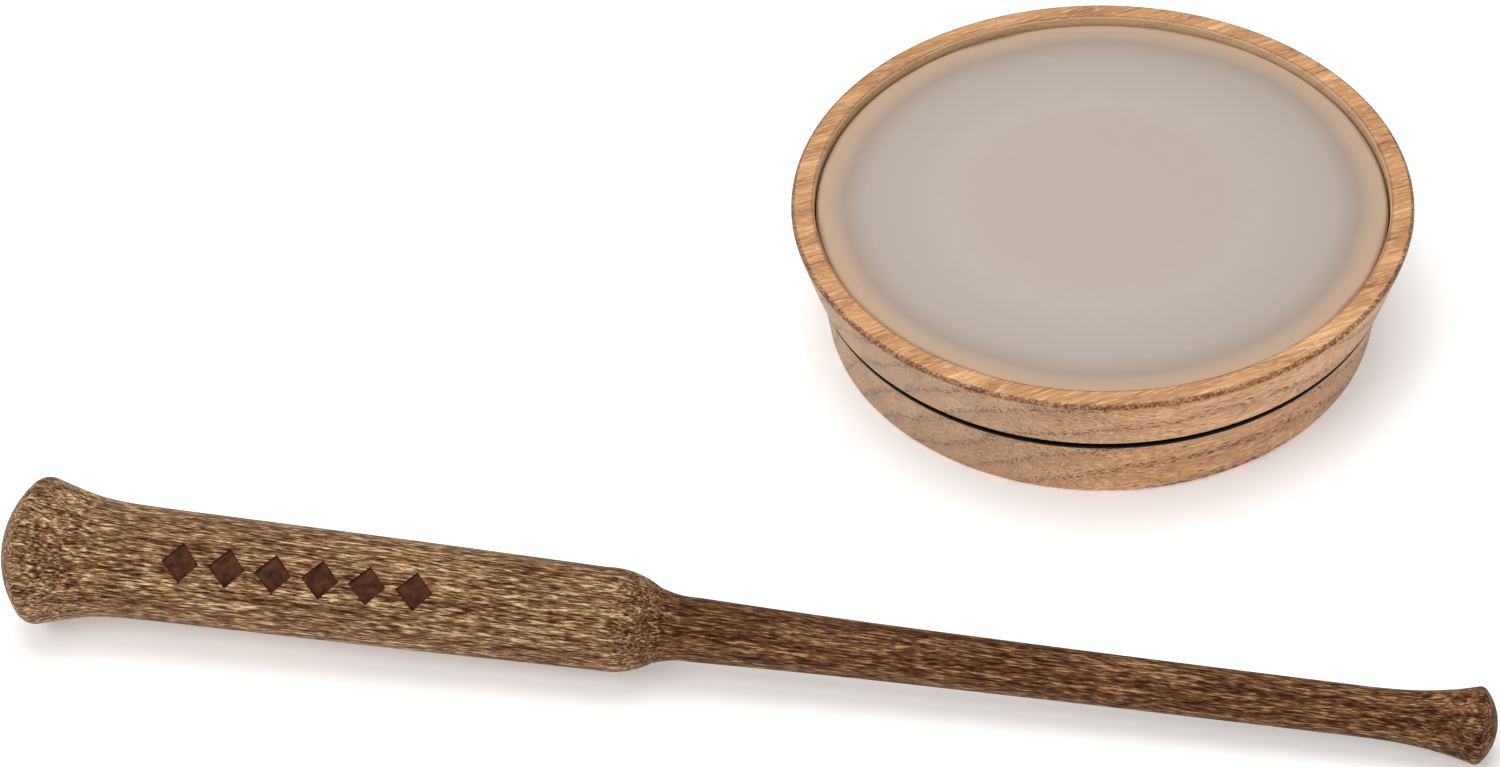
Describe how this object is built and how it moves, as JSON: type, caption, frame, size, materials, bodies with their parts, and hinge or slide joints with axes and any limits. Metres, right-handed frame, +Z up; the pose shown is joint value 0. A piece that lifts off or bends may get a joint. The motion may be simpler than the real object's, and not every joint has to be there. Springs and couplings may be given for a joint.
{
  "type": "pot-style friction turkey call with striker",
  "caption": "Round turned wooden pot call with a frosted glass playing surface over a sound board, vented underside, rubber waist ring and a separate turned wooden striker.",
  "frame": {"origin": "centre of the pot's flat underside, on the surface it stands on", "axes": "+Z up through the playing surface, +X to the right along the striker's long side, +Y away from the striker"},
  "size_m": [0.1955, 0.1374, 0.0207],
  "materials": {
    "pot_wood": "oiled, open-pored",
    "frosted_glass": "sanded matt on top",
    "board_glass": "plain",
    "pedestal_wood": "turned, bare",
    "glue": "cured adhesive",
    "black_rubber": "glossy",
    "striker_wood": "oiled, fine dark pores"
  },
  "bodies": {
    "pot": {"pot_body": "pot_wood", "pedestal_glue": "glue", "pedestal_ring": "pedestal_wood", "sound_board_glue": "glue", "sound_board": "board_glass", "surface_glue": "glue", "playing_surface": "frosted_glass", "waist_ring": "black_rubber"},
    "striker": {"striker": "striker_wood"}
  },
  "joints": [
    {"name": "striker_lift", "type": "slide", "parent": "pot", "child": "striker", "axis": [0, 0, 1], "range_m": [0, 0.1]}
  ]
}
